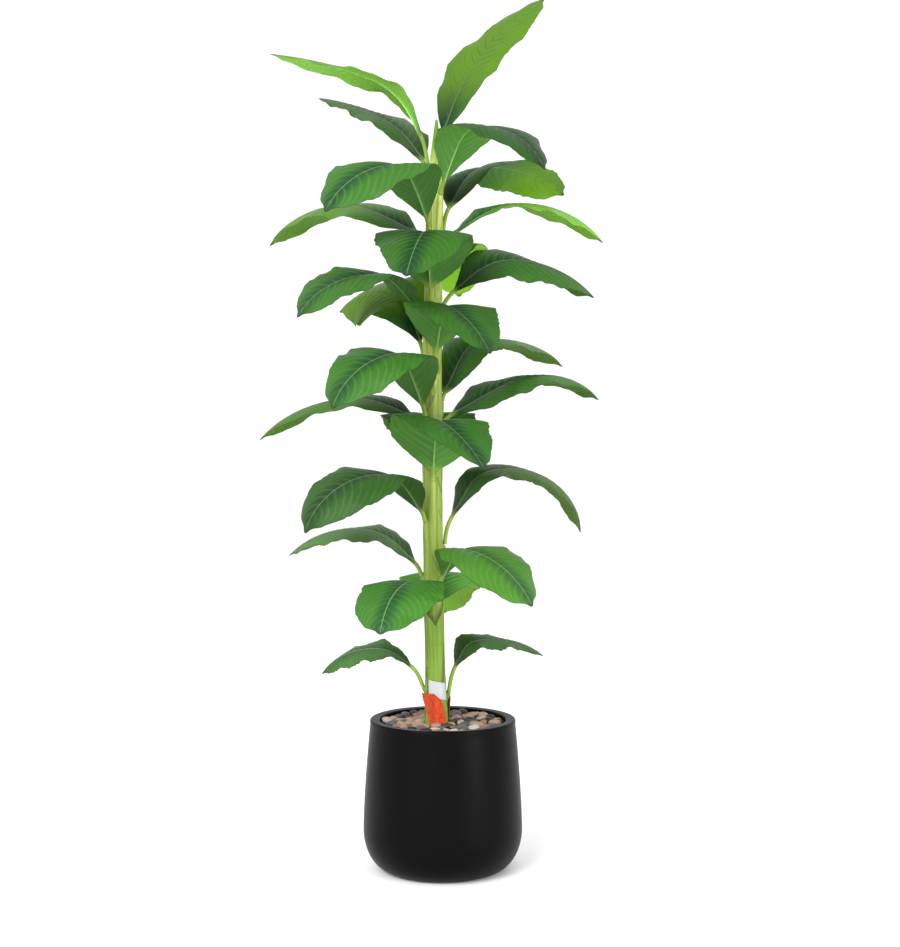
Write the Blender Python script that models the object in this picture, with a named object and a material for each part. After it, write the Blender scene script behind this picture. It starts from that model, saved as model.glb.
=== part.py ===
"""An artificial banana plant, 2 m tall, in a round black plastic planter.

Frame: metres, +Z up, origin at the centre of the planter's flat underside,
-Y is the plant's front. Every leaf is one row of LEAVES, lofted by one rule.
"""
import math
from dataclasses import dataclass

import bmesh
import bpy
import numpy as np

GAP = 0.0003                    # clearance between neighbouring solids

# Planter: a flat foot, a round lower corner, a belly and an inturned rim
POT_HEIGHT = 0.338
POT_FOOT_R = 0.120
POT_BELLY_R = 0.180
POT_BELLY_Z = 0.090
POT_NECK_R = 0.1635
POT_RIM_R = 0.165               # outside of the rim
POT_MOUTH_R = 0.143             # inside of the rim
POT_RIM_DEPTH = 0.012
POT_WALL = 0.006
POT_SEGMENTS = 48

# What fills the planter: a cast plug, and a layer of pebbles on it
FILL_TOP = 0.308
PEBBLE_LEVEL = 0.329            # mean height of the layer's top
PEBBLE_BUMP = 0.005
PEBBLE_SIZE = 0.026
PEBBLE_SEED = 7

# Trunk: an upright false stem with a slight bow to the left
TRUNK_X = -0.014                # where it stands
TRUNK_BOW = 0.010
TRUNK_TOP = 1.690
TRUNK_FOOT_R = 0.027
TRUNK_R = 0.0225
TRUNK_NECK_R = 0.0195
TRUNK_NECK_Z = 1.500
TRUNK_TIP_R = 0.003
TRUNK_SEGMENTS = 20

# Leaves
STALK_HALF_WIDTH = 0.0048
STALK_THICKNESS = 0.0090
BLADE_SHARE_OF_LENGTH = 1 / 92  # blade thickness as a share of the leaf's length
RIB_RISE = 0.0016               # how far the midrib stands out on each side
SPLIT_TURN = 100.0              # a leaf that turns further, degrees, is two solids
STALK_STEPS = 2
BLADE_STEPS = 13

# Dry sheath stubs round the foot, and a blank paper label
SHEATH_THICKNESS = 0.0022
LABEL_THICKNESS = 0.0008

COLOURS = {
    "pot": (0.012, 0.012, 0.013, 0.42),
    "fill": (0.23, 0.21, 0.19, 0.90),
    "pebbles": (0.36, 0.29, 0.24, 0.65),
    "trunk": (0.38, 0.46, 0.12, 0.55),
    "leaf": (0.05, 0.24, 0.03, 0.45),
    "sheath": (0.80, 0.10, 0.02, 0.60),
    "label": (0.82, 0.83, 0.84, 0.60),
}


@dataclass
class Leaf:
    """One leaf: where it leaves the trunk, its size and how it bends.

    Angles are degrees. Headings run anticlockwise from +X seen from above.
    Elevations are the leaf's slope at its foot, just past its bend and at its
    tip. A positive roll lowers the leaf's right side. A positive fold lifts
    both halves into a V; a negative one lets them hang. A belly over 1 moves
    the widest place towards the tip.
    """

    height: float
    heading: float
    blade: float = 0.36
    width: float = 0.19
    stalk: float = 0.03
    stalk_slope: float = 80
    foot_slope: float = 60
    bend_slope: float = 0
    tip_slope: float = -50
    bend_at: float = 0.28
    bend_reach: float = 0.15
    sweep: float = 0
    foot_roll: float = 0
    tip_roll: float = 0
    foot_fold: float = 25
    tip_fold: float = -12
    curl: float = 25
    ripple: float = 0.004
    ripples: float = 3.5
    belly: float = 0.82


LEAVES = [
    # the crown, from the top down
    Leaf(1.635, 25, 0.44, 0.14, 0.02, 88, 71, 49, 37, 0.33, 0.3,
         foot_roll=25, tip_roll=30, foot_fold=20, tip_fold=5),
    Leaf(1.592, 182, 0.41, 0.125, 0.06, 82, 66, 22, 6, 0.27, 0.24,
         foot_roll=8, foot_fold=20, tip_fold=-8, belly=0.72),
    Leaf(1.570, 150, 0.35, 0.165, 0.03, 72, 57, 33, 11, 0.25, 0.25,
         foot_roll=-15, tip_roll=-4, foot_fold=20, tip_fold=0, belly=0.78),
    Leaf(1.519, 306, 0.38, 0.2, 0.02, 80, 57, 4, -69, 0.34, 0.12,
         sweep=36, foot_roll=-2, tip_roll=15, foot_fold=17, tip_fold=4, belly=1.06),
    Leaf(1.440, 242, 0.382, 0.21, 0.02, 80, 52, -5, -65, 0.36, 0.11,
         sweep=-50, foot_roll=11, tip_roll=-38, foot_fold=17, tip_fold=2, belly=1.02),
    Leaf(1.444, 33, 0.388, 0.195, 0.05, 82, 59, 8, -31, 0.3, 0.17,
         foot_roll=11, tip_roll=-25, foot_fold=19, tip_fold=-6, belly=0.79),
    Leaf(1.424, 159, 0.42, 0.185, 0.02, 45, 28, 9, -53, 0.35, 0.2,
         foot_roll=-25, tip_roll=-2, foot_fold=16, tip_fold=-10),
    Leaf(1.418, 12, 0.395, 0.17, 0.03, 42, 33, 9.5, -52, 0.3, 0.2,
         foot_roll=11, tip_roll=6, foot_fold=22, tip_fold=-11),
    Leaf(1.280, 261, 0.355, 0.215, 0.03, 82, 64, -22, -50, 0.37, 0.1,
         sweep=-4, tip_roll=-4, foot_fold=18, tip_fold=-3, belly=0.72),
    Leaf(1.300, 78, 0.34, 0.19, 0.03, 80, 60, 0, -60, 0.3, 0.15,
         foot_fold=28, tip_fold=-10),
    # the middle of the trunk
    Leaf(1.275, 8, 0.38, 0.21, 0.03, 60, 42, 5, -50, 0.3, 0.2,
         foot_roll=40, tip_roll=5, foot_fold=20, belly=1.05),
    Leaf(1.236, 216, 0.346, 0.188, 0.03, 74, 42, 2, -62, 0.3, 0.12,
         sweep=-32, tip_roll=-35, foot_fold=16, tip_fold=8, belly=0.9),
    Leaf(1.165, 146, 0.312, 0.222, 0.02, 78, 67, 27, -44, 0.34, 0.15,
         foot_roll=-28, tip_roll=-42, foot_fold=24, tip_fold=-8, belly=1.08),
    Leaf(1.147, 286, 0.335, 0.2, 0.02, 82, 60, -15, -58, 0.34, 0.1,
         sweep=28, foot_roll=-4, tip_roll=3, foot_fold=17, tip_fold=8, belly=0.9),
    Leaf(1.057, 32, 0.415, 0.175, 0.015, 82, 62, 10, -38, 0.33, 0.14,
         foot_roll=17, foot_fold=20, tip_fold=-8, belly=0.76),
    Leaf(1.003, 240, 0.372, 0.208, 0.04, 82, 57, -8, -73, 0.38, 0.11,
         sweep=-44, foot_roll=9, tip_roll=-34, foot_fold=18, tip_fold=3, belly=1),
    Leaf(1.010, 162, 0.42, 0.15, 0.02, 36, 25, 3, -46, 0.25, 0.2,
         foot_roll=-20, foot_fold=14),
    Leaf(1.012, 5, 0.38, 0.178, 0.02, 42, 31, 25.5, -51, 0.34, 0.25,
         foot_roll=28, tip_roll=-7, foot_fold=16, tip_fold=-8),
    Leaf(0.878, 275, 0.34, 0.218, 0.02, 82, 66, -13, -57, 0.37, 0.1,
         sweep=50, foot_roll=-9, tip_roll=4, foot_fold=17, tip_fold=14, belly=0.76),
    Leaf(0.885, 95, 0.34, 0.22, 0.03, 82, 65, -10, -50, 0.38, 0.12,
         foot_fold=28, tip_fold=-8),
    # the lowest leaves
    Leaf(0.786, 230, 0.397, 0.198, 0.02, 78, 48, 7, -75, 0.29, 0.14,
         sweep=-38, foot_roll=7, tip_roll=-35, foot_fold=16, tip_fold=-2, belly=1),
    Leaf(0.732, 15, 0.449, 0.175, 0.06, 84, 60, 15, -87, 0.26, 0.12,
         foot_roll=14, tip_roll=2, foot_fold=18, tip_fold=-7, belly=0.9),
    Leaf(0.660, 174, 0.34, 0.153, 0.03, 73, 47, 13, -48, 0.28, 0.18,
         foot_roll=-14, foot_fold=18),
    Leaf(0.640, 303, 0.342, 0.2, 0.02, 80, 48, -4, -64, 0.28, 0.12,
         sweep=32, foot_roll=-5, tip_roll=15, foot_fold=18, tip_fold=1, belly=1.1),
    Leaf(0.566, 86, 0.32, 0.2, 0.03, 80, 44, -20, -54, 0.32, 0.12,
         foot_fold=10, tip_fold=-8),
    Leaf(0.584, 240, 0.285, 0.206, 0.02, 75, 42, -8, -64, 0.3, 0.12,
         sweep=14, foot_roll=3, tip_roll=-2, foot_fold=18, tip_fold=-6, belly=1.06),
    Leaf(0.410, 182, 0.237, 0.12, 0.05, 71, 41, 10, -56, 0.25, 0.2,
         foot_roll=-14, tip_roll=-12, foot_fold=22, tip_fold=-10, belly=0.9),
    Leaf(0.393, 12, 0.253, 0.125, 0.06, 83, 64, 12, -42, 0.24, 0.12,
         foot_roll=18, tip_roll=-6, foot_fold=19, tip_fold=-8),
]


def smooth(x):
    """Ease from 0 to 1 with level ends."""
    x = np.clip(x, 0.0, 1.0)
    return x * x * (3 - 2 * x)


def between(x, start, end):
    """Share of the way from start to end, held at both ends."""
    return np.clip((x - start) / (end - start), 0.0, 1.0)


# ---------------------------------------------------------------- trunk form

def trunk_centre(z):
    """The trunk's axis: a single shallow bow, in plan."""
    share = between(z, FILL_TOP, TRUNK_TOP)
    x = TRUNK_X - TRUNK_BOW * np.sin(math.pi * share)
    y = 0.5 * TRUNK_BOW * np.sin(2 * math.pi * share)
    return x, y


def trunk_radius(z):
    """A flared foot, a long slow taper, then a pointed growing tip."""
    flare = (TRUNK_FOOT_R - TRUNK_R) * (1 - smooth(between(z, FILL_TOP, 0.50)))
    taper = (TRUNK_R - TRUNK_NECK_R) * smooth(between(z, 0.90, TRUNK_NECK_Z))
    point = (TRUNK_NECK_R - TRUNK_TIP_R) * between(z, TRUNK_NECK_Z, TRUNK_TOP) ** 1.4
    return TRUNK_R + flare - taper - point


# ----------------------------------------------------------------- leaf rule

def half_width(leaf, u):
    """Blade half width at share u of its length: a wedge foot, a blunt tip."""
    body = np.sin(math.pi * np.clip(u, 0.0, 1.0) ** leaf.belly)
    shape = np.maximum(body, 0.0) ** (1.2 - 0.65 * u)
    stalk = STALK_HALF_WIDTH * np.sqrt(np.clip(1 - u, 0.0, 1.0))
    return np.maximum(np.maximum(leaf.width / 2 * shape, stalk), 0.0012)


def leaf_line(leaf, stations):
    """Centre points, tangents, right-hand and upper directions at distances
    along the leaf from the trunk."""
    length = leaf.stalk + leaf.blade
    fine = np.linspace(0, length, 400)
    u = between(fine, leaf.stalk, length)
    turn = smooth((u - leaf.bend_at + leaf.bend_reach) / (2 * leaf.bend_reach))
    droop = between(u, leaf.bend_at, 1.0) ** 1.3
    slope = leaf.foot_slope + (leaf.bend_slope - leaf.foot_slope) * turn
    slope = slope + (leaf.tip_slope - leaf.bend_slope) * droop
    on_stalk = leaf.stalk_slope + (leaf.foot_slope - leaf.stalk_slope) * (fine / leaf.stalk) ** 2
    slope = np.radians(np.where(fine < leaf.stalk, on_stalk, slope))
    heading = np.radians(leaf.heading + leaf.sweep * u ** 1.3)

    step = np.stack([np.cos(slope) * np.cos(heading),
                     np.cos(slope) * np.sin(heading),
                     np.sin(slope)], axis=1)
    run = np.cumsum((step[1:] + step[:-1]) / 2 * (fine[1] - fine[0]), axis=0)
    path = np.concatenate([np.zeros((1, 3)), run])

    x, y = trunk_centre(leaf.height)
    # the stalk's cut end clears the trunk by GAP at its nearest edge
    lean = math.sin(math.radians(leaf.stalk_slope))
    out = trunk_radius(leaf.height) + GAP + STALK_THICKNESS / 2 * lean
    root = np.array([x + out * math.cos(heading[0]), y + out * math.sin(heading[0]),
                     leaf.height])

    centres = np.stack([np.interp(stations, fine, path[:, k] + root[k]) for k in range(3)], 1)
    slope = np.interp(stations, fine, slope)
    heading = np.interp(stations, fine, heading)
    tangent = np.stack([np.cos(slope) * np.cos(heading),
                        np.cos(slope) * np.sin(heading),
                        np.sin(slope)], axis=1)
    right = np.stack([np.sin(heading), -np.cos(heading), np.zeros_like(heading)], axis=1)
    upper = np.cross(right, tangent)
    share = smooth(between(stations, leaf.stalk, length))
    roll = np.radians(leaf.foot_roll + (leaf.tip_roll - leaf.foot_roll) * share)[:, None]
    rolled_right = np.cos(roll) * right - np.sin(roll) * upper
    rolled_upper = np.cos(roll) * upper + np.sin(roll) * right
    return centres, tangent, rolled_right, rolled_upper


def leaf_section(leaf, u, across):
    """Offsets to the right and upwards of the blade's middle surface, at
    share u of the blade, for positions across from -1 to 1."""
    fold = leaf.foot_fold + (leaf.tip_fold - leaf.foot_fold) * smooth(u * 1.1)
    steps = np.linspace(0, 1, 21)
    slope = np.radians(fold - leaf.curl * steps) * smooth(u / 0.1)
    mean = (slope[1:] + slope[:-1]) / 2
    out = np.concatenate([[0], np.cumsum(np.cos(mean))]) * steps[1]
    up = np.concatenate([[0], np.cumsum(np.sin(mean))]) * steps[1]
    half = float(half_width(leaf, u))
    side = np.where(across > 0, 0.0, 0.37)
    waves = np.sin(2 * math.pi * (leaf.ripples * u + side + leaf.heading / 90))
    ripple = leaf.ripple * half / (leaf.width / 2) * np.abs(across) ** 2 * waves
    right = np.interp(np.abs(across), steps, out) * np.sign(across) * half
    upper = np.interp(np.abs(across), steps, up) * half + ripple
    return right, upper


def leaf_stations(leaf):
    """Distances along the leaf, closer together where it bends."""
    stalk = np.linspace(0, leaf.stalk, STALK_STEPS + 1)
    even = np.linspace(0, 1, BLADE_STEPS + 1)[1:]
    drawn = even + 0.35 * leaf.bend_at * np.sin(math.pi * even) * (leaf.bend_at - even)
    return np.concatenate([stalk, leaf.stalk + leaf.blade * drawn])


def leaf_rings(leaf, stations):
    """Closed outlines of the leaf's cross-sections, one at each station."""
    across = np.array([-1.0, -0.5, 0.0, 0.5, 1.0])
    length = leaf.stalk + leaf.blade
    centres, _, right, upper = leaf_line(leaf, stations)
    rings = []
    for centre, to_right, to_upper, s in zip(centres, right, upper, stations):
        u = float(between(s, leaf.stalk, length))
        out, up = leaf_section(leaf, u, across)
        blade = smooth(u / 0.12)
        thick = STALK_THICKNESS + (length * BLADE_SHARE_OF_LENGTH - STALK_THICKNESS) * blade
        round_edge = np.array([0.45, 0.85, 1.0, 0.85, 0.45])
        half = thick / 2 * (round_edge + (1 - round_edge) * blade)
        half = half + RIB_RISE * (1 - u) * blade * np.array([0, 0, 1, 0, 0])
        top = [centre + o * to_right + (h + t) * to_upper for o, h, t in zip(out, up, half)]
        low = [centre + o * to_right + (h - t) * to_upper for o, h, t in zip(out, up, half)]
        rings.append(top + low[::-1])
    return rings


# ------------------------------------------------------------ building tools

def material(kind):
    """The Principled material of one kind of part."""
    found = bpy.data.materials.get(kind)
    if found:
        return found
    red, green, blue, roughness = COLOURS[kind]
    made = bpy.data.materials.new(kind)
    made.use_nodes = True
    shader = made.node_tree.nodes["Principled BSDF"]
    shader.inputs["Base Color"].default_value = (red, green, blue, 1)
    shader.inputs["Roughness"].default_value = roughness
    shader.inputs["Metallic"].default_value = 0
    return made


def add_object(name, mesh_data, kind, sharp=35):
    """Turn a bmesh into a named, smooth-shaded object with its material."""
    bmesh.ops.recalc_face_normals(mesh_data, faces=mesh_data.faces)
    mesh = bpy.data.meshes.new(name)
    mesh_data.to_mesh(mesh)
    mesh_data.free()
    mesh.shade_smooth()
    mesh.set_sharp_from_angle(angle=math.radians(sharp))
    mesh.materials.append(material(kind))
    obj = bpy.data.objects.new(name, mesh)
    bpy.context.scene.collection.objects.link(obj)
    return obj


def loft(name, rings, kind):
    """One closed body through a row of outlines with flat ends."""
    bm = bmesh.new()
    rows = [[bm.verts.new(point) for point in ring] for ring in rings]
    for row, following in zip(rows, rows[1:]):
        for k in range(len(row)):
            n = (k + 1) % len(row)
            bm.faces.new((row[k], row[n], following[n], following[k]))
    bm.faces.new(rows[0][::-1])
    bm.faces.new(rows[-1])
    bmesh.ops.triangulate(bm, faces=bm.faces)
    return add_object(name, bm, kind)


def lathe(name, profile, kind, segments):
    """Turn a profile of (radius, height) round Z; radius 0 closes on the axis."""
    bm = bmesh.new()
    rows = []
    for radius, height in profile:
        if radius == 0:
            rows.append([bm.verts.new((0, 0, height))])
            continue
        angles = [2 * math.pi * k / segments for k in range(segments)]
        rows.append([bm.verts.new((radius * math.cos(a), radius * math.sin(a), height))
                     for a in angles])
    for row, following in zip(rows, rows[1:]):
        for k in range(segments):
            n = (k + 1) % segments
            corners = [row[k % len(row)], row[n % len(row)],
                       following[n % len(following)], following[k % len(following)]]
            bm.faces.new(list(dict.fromkeys(corners)))
    return add_object(name, bm, kind)


# -------------------------------------------------------------------- planter

def pot_outside(z):
    """The planter's outer radius at height z."""
    if z < POT_BELLY_Z:
        rise = (POT_BELLY_Z - z) / POT_BELLY_Z
        return POT_FOOT_R + (POT_BELLY_R - POT_FOOT_R) * math.sqrt(max(0, 1 - rise ** 2))
    share = (z - POT_BELLY_Z) / (POT_HEIGHT - POT_BELLY_Z)
    return POT_BELLY_R - (POT_BELLY_R - POT_NECK_R) * share ** 1.5


def wall_heights():
    """Heights of the wall's rings, closer together round the lower corner."""
    corner = [POT_BELLY_Z * (1 - math.cos(math.radians(a))) for a in (0, 18, 36, 54, 72, 90)]
    rim_foot = POT_HEIGHT - POT_RIM_DEPTH
    return corner + [POT_BELLY_Z + (rim_foot - POT_BELLY_Z) * k / 5 for k in range(1, 6)]


def build_pot():
    """The planter: one thin wall with an inturned, rounded rim."""
    outer = [(0, 0)] + [(pot_outside(z), z) for z in wall_heights()]
    rim_bulge = 0.0025
    rim = [(POT_RIM_R, POT_HEIGHT - 0.006), (POT_RIM_R - rim_bulge, POT_HEIGHT - 0.001),
           (POT_RIM_R - 0.007, POT_HEIGHT), (POT_MOUTH_R + 0.007, POT_HEIGHT - 0.001),
           (POT_MOUTH_R + 0.002, POT_HEIGHT - 0.003), (POT_MOUTH_R, POT_HEIGHT - 0.007),
           (POT_MOUTH_R, POT_HEIGHT - POT_RIM_DEPTH)]
    inner = [(pot_outside(z) - POT_WALL, z) for z in wall_heights()[::-1] if z > 2 * POT_WALL]
    inner = [(r, z) for r, z in inner if z < POT_HEIGHT - 2 * POT_RIM_DEPTH]
    floor = [(POT_FOOT_R, POT_WALL), (0, POT_WALL)]
    lathe("pot", outer + rim + inner + floor, "pot", POT_SEGMENTS)


def fill_bore(z):
    """Radius of the hole that the trunk leaves in the pebble layer."""
    return float(trunk_radius(z)) + GAP


def build_fill():
    """The cast plug that weighs the planter down and carries the trunk."""
    inset = POT_WALL + GAP + 0.0005
    heights = [z for z in wall_heights() if 2 * POT_WALL < z < POT_HEIGHT - 2 * POT_RIM_DEPTH]
    side = [(pot_outside(z) - inset, z) for z in heights]
    low = [(0, POT_WALL + GAP), (POT_FOOT_R - 0.003, POT_WALL + GAP)]
    top = [(POT_MOUTH_R - 0.001, FILL_TOP), (0, FILL_TOP)]
    lathe("pot_fill", low + side + top, "fill", POT_SEGMENTS)


def pebble_centres():
    """Seeded places for the pebbles, none nearer than PEBBLE_SIZE."""
    rng = np.random.default_rng(PEBBLE_SEED)
    placed = []
    for _ in range(4000):
        radius = (POT_MOUTH_R - 0.010) * math.sqrt(rng.random())
        angle = 2 * math.pi * rng.random()
        spot = (radius * math.cos(angle), radius * math.sin(angle))
        if all(math.dist(spot, other) > PEBBLE_SIZE for other in placed):
            placed.append(spot)
    return placed


def build_pebble_bed():
    """The pebble layer: one closed body with a lumpy top and a trunk hole."""
    stones = pebble_centres()
    segments, rings = 40, 8
    edge = POT_MOUTH_R - GAP - 0.0005
    low = FILL_TOP + GAP
    cx, cy = (float(v) for v in trunk_centre(FILL_TOP))
    bm = bmesh.new()
    lower, upper = [], []
    for k in range(rings + 1):
        share = k / rings
        bottom_row, top_row = [], []
        for j in range(segments):
            angle = 2 * math.pi * j / segments
            bore = fill_bore(FILL_TOP) + 0.0005
            x0, y0 = cx + bore * math.cos(angle), cy + bore * math.sin(angle)
            x1, y1 = edge * math.cos(angle), edge * math.sin(angle)
            x, y = x0 + (x1 - x0) * share, y0 + (y1 - y0) * share
            near = min(math.dist((x, y), stone) for stone in stones)
            dome = math.sqrt(max(0.0, 1 - (near / PEBBLE_SIZE) ** 2))
            z = PEBBLE_LEVEL + PEBBLE_BUMP * (2 * dome - 1)
            top_row.append(bm.verts.new((x, y, z)))
            if k in (0, rings):
                bottom_row.append(bm.verts.new((x, y, low)))
        upper.append(top_row)
        if bottom_row:
            lower.append(bottom_row)
    rows = [lower[0]] + upper + [lower[1]]
    for row, following in zip(rows, rows[1:] + rows[:1]):
        for j in range(segments):
            n = (j + 1) % segments
            bm.faces.new((row[j], row[n], following[n], following[j]))
    bmesh.ops.triangulate(bm, faces=bm.faces)
    add_object("pebble_bed", bm, "pebbles", sharp=80)


# ---------------------------------------------------------------------- plant

def circle(centre, radius, z, segments):
    """Points of a level circle."""
    angles = [2 * math.pi * k / segments for k in range(segments)]
    return [(centre[0] + radius * math.cos(a), centre[1] + radius * math.sin(a), z)
            for a in angles]


def build_trunk():
    """The false stem, from its flat cut on the plug to its growing tip."""
    foot = FILL_TOP + GAP
    heights = [foot, 0.36, 0.43] + list(np.linspace(0.50, TRUNK_NECK_Z, 8))
    heights += list(np.linspace(TRUNK_NECK_Z, TRUNK_TOP, 6)[1:])
    rings = [circle(trunk_centre(z), float(trunk_radius(z)), z, TRUNK_SEGMENTS)
             for z in heights]
    loft("trunk", rings, "trunk")


def build_leaf(number, leaf):
    """One leaf; a strongly bent one is two solids that meet at the bend."""
    name = f"leaf_{number:02d}"
    stations = leaf_stations(leaf)
    if leaf.foot_slope - leaf.tip_slope <= SPLIT_TURN:
        loft(name, leaf_rings(leaf, stations), "leaf")
        return
    cut = leaf.stalk + leaf.blade * leaf.bend_at
    clear = 0.004
    before = [s for s in stations if s < cut - clear] + [cut - GAP / 2]
    after = [cut + GAP / 2] + [s for s in stations if s > cut + clear]
    loft(name + "_foot", leaf_rings(leaf, np.array(before)), "leaf")
    loft(name + "_blade", leaf_rings(leaf, np.array(after)), "leaf")


def wrap(name, kind, thickness, lift, rows, steps=6):
    """A thin plate wrapped on the trunk. Each row is (height, first angle,
    last angle, distance that it stands off), from the bottom up."""
    rings = []
    for z, first, last, off in rows:
        cx, cy = trunk_centre(z)
        radius = float(trunk_radius(z)) + lift + off
        angles = [math.radians(first + (last - first) * k / steps) for k in range(steps + 1)]
        near = [(cx + radius * math.cos(a), cy + radius * math.sin(a), z) for a in angles]
        far = [(cx + (radius + thickness) * math.cos(a),
                cy + (radius + thickness) * math.sin(a), z) for a in angles]
        rings.append(near + far[::-1])
    loft(name, rings, kind)


def build_foot_trim():
    """Two orange sheath stubs and the blank label at the trunk's foot."""
    foot = PEBBLE_LEVEL + 1.6 * PEBBLE_BUMP
    wrap("sheath_front", "sheath", SHEATH_THICKNESS, GAP,
         [(foot, 238, 318, 0.0), (0.352, 229, 312, 0.0006), (0.368, 218, 304, 0.002),
          (0.385, 206, 290, 0.004), (0.398, 198, 264, 0.007)])
    wrap("sheath_back", "sheath", SHEATH_THICKNESS, GAP,
         [(foot, 26, 82, 0.0), (0.360, 26, 78, 0.0015), (0.385, 28, 72, 0.004),
          (0.400, 30, 56, 0.006)])
    wrap("trunk_label", "label", LABEL_THICKNESS, GAP,
         [(0.386, 236, 330, 0.0), (0.424, 234, 326, 0.0)])


def build():
    """Clear the scene and build the plant from the ground up."""
    for obj in list(bpy.data.objects):
        bpy.data.objects.remove(obj, do_unlink=True)
    build_pot()
    build_fill()
    build_pebble_bed()
    build_trunk()
    build_foot_trim()
    for number, leaf in enumerate(LEAVES, start=1):
        build_leaf(number, leaf)


build()
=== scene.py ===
"""An artificial banana plant in a round black planter: its visible surfaces.

Leaves, trunk and planter follow the rules of the solids that they dress, on
finer grids. Metres, +Z up, -Y the front; angles are degrees unless named
otherwise.
"""
import math
from dataclasses import dataclass

import bmesh
import bpy
import numpy as np
from mathutils import Euler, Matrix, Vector, noise


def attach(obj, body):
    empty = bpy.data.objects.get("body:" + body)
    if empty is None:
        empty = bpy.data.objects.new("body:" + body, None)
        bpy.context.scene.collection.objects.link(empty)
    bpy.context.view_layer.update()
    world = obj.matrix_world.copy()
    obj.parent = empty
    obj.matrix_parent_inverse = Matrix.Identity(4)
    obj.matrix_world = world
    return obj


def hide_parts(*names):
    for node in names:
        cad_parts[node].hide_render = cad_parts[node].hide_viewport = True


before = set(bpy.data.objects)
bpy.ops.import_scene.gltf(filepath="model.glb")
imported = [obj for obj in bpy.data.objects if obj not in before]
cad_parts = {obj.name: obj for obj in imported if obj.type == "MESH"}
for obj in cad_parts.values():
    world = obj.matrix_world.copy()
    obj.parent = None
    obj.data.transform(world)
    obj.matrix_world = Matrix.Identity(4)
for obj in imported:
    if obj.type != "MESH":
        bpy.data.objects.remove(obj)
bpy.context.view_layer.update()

GAP = 0.0003                    # clearance between neighbours
TURN = 2 * math.pi
SEED = 11

# Planter
POT_HEIGHT = 0.338
POT_FOOT_R = 0.120
POT_BELLY_R = 0.180
POT_BELLY_Z = 0.090
POT_NECK_R = 0.1635
POT_RIM_R = 0.165
POT_MOUTH_R = 0.143
POT_WALL = 0.006
POT_LIP_OUT_R = 0.004           # rounding of the lip's outer edge
POT_LIP_IN_R = 0.003            # and of its inner edge
POT_SEGMENTS = 144
FILL_TOP = 0.308
PEBBLE_TOP = 0.3362

# Trunk
TRUNK_X = -0.014
TRUNK_BOW = 0.010
TRUNK_TOP = 1.690
TRUNK_FOOT_R = 0.027
TRUNK_R = 0.0225
TRUNK_NECK_R = 0.0195
TRUNK_NECK_Z = 1.500
TRUNK_TIP_R = 0.003
TRUNK_COLUMNS = 120
TRUNK_ROW = 0.003               # height of a row of faces, below TRUNK_FINE_Z
TRUNK_FINE_Z = 1.600
SHEATH_STEP = 0.0009            # how proud each leaf's sheath stands of the next
SHEATH_FOLD = 14                # half the angle that a sheath spans just under its leaf
SHEATH_GAIN = 172               # and how much it widens by on its way down
SHEATH_FREE = (0.45, 0.85)      # over this share of its drop a petiole becomes a sheath
SEAM_SOFT = 6                   # mm by which a sheath's shadow keeps away before that
SEAM_FAR = 40.0                 # mm to the nearest sheath edge where there is none
SWELL_RUN = 0.15                # length of the swelling under each petiole
LOW_SWELL_RUN = 0.03            # the same under the two leaves just above the tag
LOW_LEAF = 0.5                  # height that those two are below

# Leaves
STALK_HALF_WIDTH = 0.0048
STALK_THICKNESS = 0.0090
BLADE_THICKNESS = 0.0009
LEAF_CURL = 25                  # how far each half turns down from rib to margin
LONG_WAVE = 0.004               # height of the blade's long waves at the margin
LONG_WAVES = 3.5                # how many along the blade
SHORT_WAVE = 0.0017             # height of the margin's short flutter
FRILLS = 19                     # how many fine frills along the margin
VEINS = 18                      # main side veins along one half of a blade
RIDGE = 0.0005                  # how far the blade rises at each main side vein
KEEL = 0.0045                   # how much the midrib deepens from its tip to its foot
KEEL_TIP = 0.0006               # its depth under the blade at the tip
KEEL_WIDTH = 0.0034
GROOVE = 0.0016                 # depth of the furrow over the midrib
GROOVE_WIDTH = 0.0026
STALK_ROWS = 6
BLADE_ROWS = 112
LINE_STEPS = 400                # points along a leaf when its bend is summed up
FOLD_STEPS = 41                 # points from rib to margin when its fold is


@dataclass
class Leaf:
    """One leaf's place, size and bend, as in the solids, and its print, painted backlight, painted
    shade, painted light and a painted sheen.
    """

    height: float
    heading: float
    blade: float = 0.36
    width: float = 0.19
    stalk: float = 0.03
    stalk_slope: float = 80
    foot_slope: float = 60
    bend_slope: float = 0
    tip_slope: float = -50
    bend_at: float = 0.28
    bend_reach: float = 0.15
    sweep: float = 0
    foot_roll: float = 0
    tip_roll: float = 0
    foot_fold: float = 25
    tip_fold: float = -12
    belly: float = 0.82
    frill: float = 0.015        # fine frill of the margin, as a share of the half width
    backlight_top: float = 0.0      # share of painted yellow-green backlight on the upper side
    backlight_under: float = 0.1    # the same on the underside
    backlight_from: float = 0.18    # where along the blade that starts
    painted_foot_shade: float = 0.5            # painted shade: how dark the upper side is at its foot
    painted_foot_shade_under: float = 0.12     # the same on the underside
    top_painted_light: float = 1.0       # painted light and shade: how light the upper side is
    under_painted_light: float = 1.0     # the same painted light and shade on the underside
    grey: float = 0.0           # painted grey sheen: how far the leaf's colour is greyed
    wrap: float = 0.28          # how far below the leaf its sheath closes


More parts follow.
